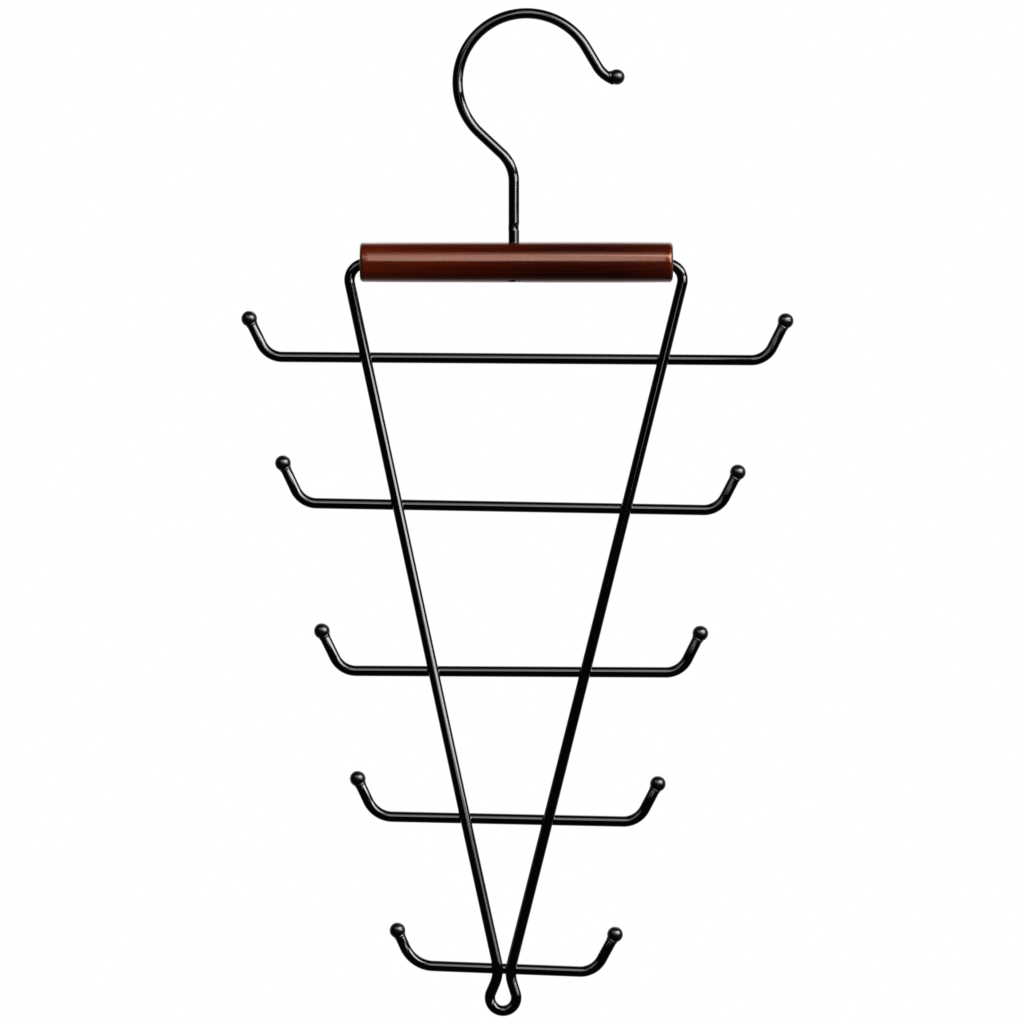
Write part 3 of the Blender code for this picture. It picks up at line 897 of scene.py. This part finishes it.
# How thick the dowel is along its length: (share of the length, share of its radius)
THICKNESS_SHARES = (
    (0.03, 0.994), (0.10, 1.004), (0.20, 1.010), (0.35, 1.014), (0.50, 1.018), (0.62, 1.024),
    (0.80, 1.026), (0.90, 1.020), (0.97, 1.012))


def handle_profile():
    """From the left end's middle to the right end's, as (radius, place along the axis)."""
    half = HANDLE_LENGTH / 2
    left = HANDLE_RADIUS * THICKNESS_SHARES[0][1]
    right = HANDLE_RADIUS * THICKNESS_SHARES[-1][1]
    start = arc_profile((left - END_ROUNDING, END_ROUNDING - half), END_ROUNDING, -90, 0, END_STEPS)
    side = [
        (HANDLE_RADIUS * share, HANDLE_LENGTH * (along - 0.5)) for along, share in THICKNESS_SHARES]
    end = arc_profile((right - END_ROUNDING, half - END_ROUNDING), END_ROUNDING, 0, 90, END_STEPS)
    return [(0, -half), *start, *side, *end, (0, half)]


work = bmesh.new()
dowel = turn_profile(work, handle_profile(), HANDLE_SIDES)
bmesh.ops.transform(
    work, verts=dowel, matrix=Matrix.Translation(HANDLE_MIDDLE) @ Matrix.Rotation(math.pi / 2, 4, "Y"))
print("the dowel has", len(work.faces), "faces")

# %% [markdown]
# ## The handle's holes
# A cross hole takes the stem, with a counterbore under it for the washer and head, and a blind
# bore in each end takes a tail of the frame wire. The mouths of the end bores are countersunk to
# clear the wire's bend. Each hole gets a turned solid in the shape of its drill.

# %% Drills
END_BORE_DEPTH = 30.0 * MM
MOUTH_RADIUS = 3.3 * MM
MOUTH_DEPTH = 1.8 * MM
CUT_OVERRUN = 2.0 * MM


def cutter(name, profile, place):
    """A turned solid, used to drill a hole."""
    work = bmesh.new()
    verts = turn_profile(work, profile, BORE_SIDES)
    bmesh.ops.transform(work, verts=verts, matrix=place)
    bmesh.ops.recalc_face_normals(work, faces=work.faces)
    return to_object(name, work)


def handle_drills():
    top = HANDLE_RADIUS + CUT_OVERRUN
    counterbore = WASHER_RADIUS + CLEARANCE
    cross = [(0, top), (BORE_RADIUS, top), (BORE_RADIUS, COUNTERBORE_FLOOR),
             (counterbore, COUNTERBORE_FLOOR), (counterbore, -top), (0, -top)]
    end = [(0, CUT_OVERRUN), (MOUTH_RADIUS, CUT_OVERRUN), (MOUTH_RADIUS, 0),
           (BORE_RADIUS, -MOUTH_DEPTH), (BORE_RADIUS, -END_BORE_DEPTH), (0, -END_BORE_DEPTH)]
    drills = [cutter("cross_drill", cross, Matrix.Translation(SWIVEL))]
    for side in (-1, 1):
        mouth = PIVOT + Vector((side * HANDLE_LENGTH / 2, 0, 0))
        along = Matrix.Rotation(side * math.pi / 2, 4, "Y")
        drills.append(cutter(f"end_drill_{side}", end, Matrix.Translation(mouth) @ along))
    return drills


drills = handle_drills()
print("drills:", [drill.name for drill in drills])

# %% [markdown]
# ## Drilling
# Drilling is a cut, so each drill is taken out of the dowel by a Boolean modifier. The result is
# read back as a bmesh, and the drills are removed.

# %% Drilled handle
def read_back(thing):
    """What the modifiers make of an object, as a bmesh."""
    graph = bpy.context.evaluated_depsgraph_get()
    made = bmesh.new()
    made.from_mesh(thing.evaluated_get(graph).to_mesh())
    return made


def drill_out(work, drills):
    """Cuts the drills out of a bmesh and removes them."""
    bmesh.ops.recalc_face_normals(work, faces=work.faces)
    blank = to_object("blank", work)
    for drill in drills:
        cut = blank.modifiers.new(drill.name, "BOOLEAN")
        cut.operation = "DIFFERENCE"
        cut.object = drill
    drilled = read_back(blank)
    for obj in (blank, *drills):
        bpy.data.objects.remove(obj)
    return drilled


drilled = drill_out(work, drills)
finish_piece("lacquered_handle", drilled, stained_wood, "handle", "handle")

# %% [markdown]
# ## The frame wire
# The second wire starts in the left end of the handle, turns down over a shoulder, runs down as
# the left leg, goes round the small loop at the bottom and comes up the same way on the right.
# The whole frame hangs at a slight lean, since the bars behind it pull its weight back under the
# pivot. It is drawn upright about the pivot and then leaned.

# %% Corners of the frame wire
TAIL_END_GAP = 0.6 * MM
SHOULDER_STANDOFF = 5.75 * MM
LOOP_CENTRE = Vector((-5.3 * MM, 0, -293.50 * MM))
LOOP_RADIUS = 5.25 * MM
NECK_LENGTH = 4.42 * MM
NECK_SHIFT = -4.8 * MM
NECK_HEIGHT = LOOP_CENTRE.z + LOOP_RADIUS + NECK_LENGTH


def leg_places(side):
    """Tail end, shoulder corner and neck corner on one side."""
    tail_end = Vector((side * (HANDLE_LENGTH / 2 - END_BORE_DEPTH + TAIL_END_GAP), 0, 0))
    shoulder = Vector((side * (HANDLE_LENGTH / 2 + SHOULDER_STANDOFF), 0, 0))
    neck = Vector((NECK_SHIFT + side * WIRE_DIAMETER / 2, 0, NECK_HEIGHT))
    return tail_end, shoulder, neck


def loop_touch(side, neck):
    """Where the line from a neck corner touches the loop's circle, as an angle."""
    away = neck - LOOP_CENTRE
    return angle_of(away) - side * math.degrees(math.acos(LOOP_RADIUS / away.length))


print("the corners of the neck are", round(-NECK_HEIGHT, 4), "m below the pivot")

# %% [markdown]
# ## The frame wire's route
# Bending leaves the legs bowed out by a fifth of a millimetre, so a leg runs through a row of
# points in place of one straight run. The middle line of the wire, as points, serves later to
# weigh it and to find where the bars cross it.

# %% Route of the frame wire
SHOULDER_BEND_RADIUS = 6.7 * MM
NECK_BEND_RADIUS = 15.0 * MM
LEG_BOW = 0.18 * MM
BOW_STEPS = 12
# Above 1, this moves the widest place of the bow down the leg
BOW_SKEW = 1.3


def bowed(high, low, outwards):
    """Points along a leg, which bows outwards a little between its two bends."""
    points = []
    for step in range(1, BOW_STEPS):
        share = step / BOW_STEPS
        bow = outwards * LEG_BOW * math.sin(math.pi * share ** BOW_SKEW)
        points.append(high.lerp(low, share) + Vector((bow, 0, 0)))
    return points


def frame_moves():
    left_tail, left_shoulder, left_neck = leg_places(-1)
    right_tail, right_shoulder, right_neck = leg_places(1)
    left_touch = loop_touch(-1, left_neck)
    right_touch = loop_touch(1, right_neck)
    enter = LOOP_CENTRE + polar(left_touch, LOOP_RADIUS)
    leave = LOOP_CENTRE + polar(right_touch, LOOP_RADIUS)
    return left_tail, [
        *corner_moves(left_tail, left_shoulder, left_neck, SHOULDER_BEND_RADIUS),
        *bowed(left_shoulder, left_neck, -1),
        *corner_moves(left_shoulder, left_neck, enter, NECK_BEND_RADIUS),
        enter,
        (LOOP_CENTRE, right_touch + 360 - left_touch),
        *corner_moves(leave, right_neck, right_shoulder, NECK_BEND_RADIUS),
        *reversed(bowed(right_shoulder, right_neck, 1)),
        *corner_moves(right_neck, right_shoulder, right_tail, SHOULDER_BEND_RADIUS),
        right_tail,
    ]


def route_points(start, moves):
    """The middle line of a wire as points."""
    points = [start]
    for move in moves:
        if isinstance(move, Vector):
            points.append(move)
            continue
        centre, turn_deg = move
        steps = bend_steps(turn_deg)
        turn = Matrix.Rotation(math.radians(turn_deg / steps), 3, (0, -1, 0))
        for _ in range(steps):
            points.append(centre + turn @ (points[-1] - centre))
    return points


start, moves = frame_moves()
frame_points = route_points(start, moves)
print("frame wire:", len(frame_points), "points")

# %% [markdown]
# ## The crossbars
# The five bars are one pattern at five lengths. Each is straight with both ends bent up, and
# lies behind the legs, pressed a little way into them by the weld. Ends, bends, heights and
# slopes differ by the small amounts that bending and welding by hand leave.

# %% Crossbar routes
TOP_BAR_SPAN = 214.8 * MM
BAR_TIP_RISE = 15.5 * MM
BAR_LIFT_DEG = 63.6
BAR_BEND_RADIUS = 9.6 * MM
BAR_SETBACK = 3.4 * MM
LAST_BAR_RISE = 1.7 * MM
LAST_BAR_DROP = -NECK_HEIGHT - LAST_BAR_RISE
BAR_DROP_SHARES = (0.1347, 0.3449, 0.5789, 0.7880, 1.0)
BAR_SPAN_SHARES = (1.0, 0.848, 0.705, 0.559, 0.405)
BAR_RISE_SHARES = ((0.98, 1.02), (1.02, 0.99), (1.02, 1.01), (0.96, 0.99), (0.88, 0.99))
BAR_BEND_SHARES = ((1.0, 1.0), (1.0, 1.0), (1.0, 1.0), (1.15, 1.0), (1.35, 1.0))
BAR_SHIFT_SHARES = (0.24, -0.25, 0.15, 0.01, 0.05)
BAR_SLOPES_DEG = (0.4, 1.0, 0.3, 1.2, 2.2)


def bar_corners(span, rise_shares):
    """Left ball, left corner, right corner and right ball of a bar, about its own middle."""
    places = {}
    for side, share in zip((-1, 1), rise_shares):
        rise = BAR_TIP_RISE * share
        sideways = rise / math.tan(math.radians(BAR_LIFT_DEG))
        ball = Vector((side * span / 2, 0, rise))
        corner = Vector((side * (span / 2 - sideways), 0, 0))
        places[side] = (ball, corner)
    return *places[-1], *reversed(places[1])


def bar_moves(corners, bend_shares):
    left_ball, left_corner, right_corner, right_ball = corners
    left_radius, right_radius = (BAR_BEND_RADIUS * share for share in bend_shares)
    return left_ball, [
        *corner_moves(left_ball, left_corner, right_corner, left_radius),
        *corner_moves(left_corner, right_corner, right_ball, right_radius),
        right_ball,
    ]


def bar_place(drop_share, shift_share, slope_deg):
    """Where a bar sits on the upright frame."""
    middle = NECK_SHIFT * drop_share + shift_share * WIRE_DIAMETER
    drop = LAST_BAR_DROP * drop_share
    slope = Matrix.Rotation(math.radians(slope_deg), 4, "Y")
    return Matrix.Translation((middle, BAR_SETBACK, -drop)) @ slope


bars = []
for drop_share, span_share, rise_shares, bend_shares, shift_share, slope_deg in zip(
        BAR_DROP_SHARES, BAR_SPAN_SHARES, BAR_RISE_SHARES, BAR_BEND_SHARES, BAR_SHIFT_SHARES,
        BAR_SLOPES_DEG):
    corners = bar_corners(TOP_BAR_SPAN * span_share, rise_shares)
    route = bar_moves(corners, bend_shares)
    bars.append((corners, route, bar_place(drop_share, shift_share, slope_deg)))
print("crossbars:", len(bars))

# %% [markdown]
# ## How the frame hangs
# A thing that hangs free turns until its weight is under its pivot. The lean is the angle of
# the whole wire's centre of mass behind the V, worked out from the length and middle of each
# short stretch.

# %% Hanging lean
def route_moment(points):
    """The sum of each stretch's length times its middle."""
    moment = Vector()
    for first, second in zip(points, points[1:]):
        moment += (first + second) / 2 * (second - first).length
    return moment


moment = route_moment(frame_points)
for corners, route, place in bars:
    moment += route_moment([place @ point for point in route_points(*route)])
lean = -math.atan2(moment.y, -moment.z)
HANG = Matrix.Translation(PIVOT) @ Matrix.Rotation(lean, 4, "X")
print("the frame leans", round(math.degrees(lean), 2), "degrees")

# %% [markdown]
# ## Bending the frame and the bars
# All routes are known now, so the wires are bent, leaned with the frame and given their caps. A
# cap's crown points along the wire's last run.

# %% Frame wire, crossbars and caps
CUT_ROUNDING = 0.3 * MM

work = bmesh.new()
for end in bend_wire(work, start, moves):
    cap_end(work, end, CUT_ROUNDING)
bmesh.ops.transform(work, verts=work.verts, matrix=HANG)
finish_piece("powder_coated_frame_wire", work, black_wire, "frame", "frame_wire")

for number, (corners, route, place) in enumerate(bars, start=1):
    work = bmesh.new()
    for end in bend_wire(work, *route):
        cap_end(work, end, CUT_ROUNDING)
    bmesh.ops.transform(work, verts=work.verts, matrix=HANG @ place)
    finish_piece(
        f"powder_coated_crossbar_{number}", work, black_wire, "frame",
        f"crossbar_{number}")
    turn = (HANG @ place).to_3x3()
    left_ball, left_corner, right_corner, right_ball = corners
    sides = (("left", left_ball, left_corner), ("right", right_ball, right_corner))
    for word, ball, corner in sides:
        add_ball(
            f"vinyl_bar_tip_{number}_{word}", HANG @ place @ ball, turn @ (ball - corner).normalized(),
            "frame", f"bar_tip_{number}_{word}")

# %% [markdown]
# ## Where the wires cross
# Each crossbar is resistance welded where it passes behind a leg. The places come from the
# routes: a leg crosses a bar where its middle line passes from one side of the bar's to the
# other.

# %% Crossings
def walk(points, distance):
    """The point at a distance along a route."""
    for first, second in zip(points, points[1:]):
        length = (second - first).length
        if distance <= length:
            return first.lerp(second, distance / length)
        distance -= length
    return points[-1]


def crossings(points, left, right):
    """How far along a route it passes over the line through two points, as the camera sees it."""
    square = (right - left).cross(Vector((0, 1, 0)))
    gone = 0
    found = []
    for first, second in zip(points, points[1:]):
        length = (second - first).length
        before = (first - left).dot(square)
        after = (second - left).dot(square)
        if before * after < 0:
            found.append(gone + length * before / (before - after))
        gone += length
    return found


crossed = [
    crossings(frame_points, place @ corners[1], place @ corners[2]) for corners, _, place in bars]
print("crossings of each bar:", [len(found) for found in crossed])

# %% [markdown]
# ## The welds
# For a weld, two wires are squeezed together while a current softens them, and the powder then
# runs into the corners and rounds them. Two short stubs of wire, fused into one skin and
# smoothed, give that shape: smoothing fills the corners and draws the rest back just under the
# wires. A bevel can't do it, as the two wires share no edge.

# %% Helpers for a weld
SKIN_GRAIN = 0.22 * MM
SKIN_SMOOTHING = 14


def add_stub(work, points):
    """A closed piece of wire through the points."""
    for end in bend_wire(work, points[0], points[1:]):
        bmesh.ops.edgeloop_fill(work, edges=end)


def fuse_and_smooth(work):
    """One smoothed skin round everything in the bmesh."""
    stubs = to_object("stubs", work)
    skin = stubs.modifiers.new("skin", "REMESH")
    skin.mode = "VOXEL"
    skin.voxel_size = SKIN_GRAIN
    smoothing = stubs.modifiers.new("smoothing", "SMOOTH")
    smoothing.factor = 0.5
    smoothing.iterations = SKIN_SMOOTHING
    fused = read_back(stubs)
    bpy.data.objects.remove(stubs)
    return fused


print("helpers ready: add_stub, fuse_and_smooth")

# %% Welds
STUB_REACH = 4.5 * MM
STUB_STEPS = 9

for number, ((corners, _, place), found) in enumerate(zip(bars, crossed), start=1):
    along_bar = (place @ corners[2] - place @ corners[1]).normalized()
    for word, distance in zip(("left", "right"), found):
        steps = [STUB_REACH * (2 * step / STUB_STEPS - 1) for step in range(STUB_STEPS + 1)]
        leg_points = [walk(frame_points, distance + step) for step in steps]
        middle = walk(frame_points, distance)
        middle.y = BAR_SETBACK
        work = bmesh.new()
        add_stub(work, leg_points)
        add_stub(work, [middle - along_bar * STUB_REACH, middle + along_bar * STUB_REACH])
        work = fuse_and_smooth(work)
        bmesh.ops.transform(work, verts=work.verts, matrix=HANG)
        finish_piece(f"weld_{number}_{word}", work, black_wire, "frame")
print("welds:", 2 * len(bars))

# %% [markdown]
# ## The size
# The looks must not change the size of the object. As each piece that replaces a solid was finished,
# how far its box lies from the box of that solid was printed.

# %% Done
print("all pieces made")
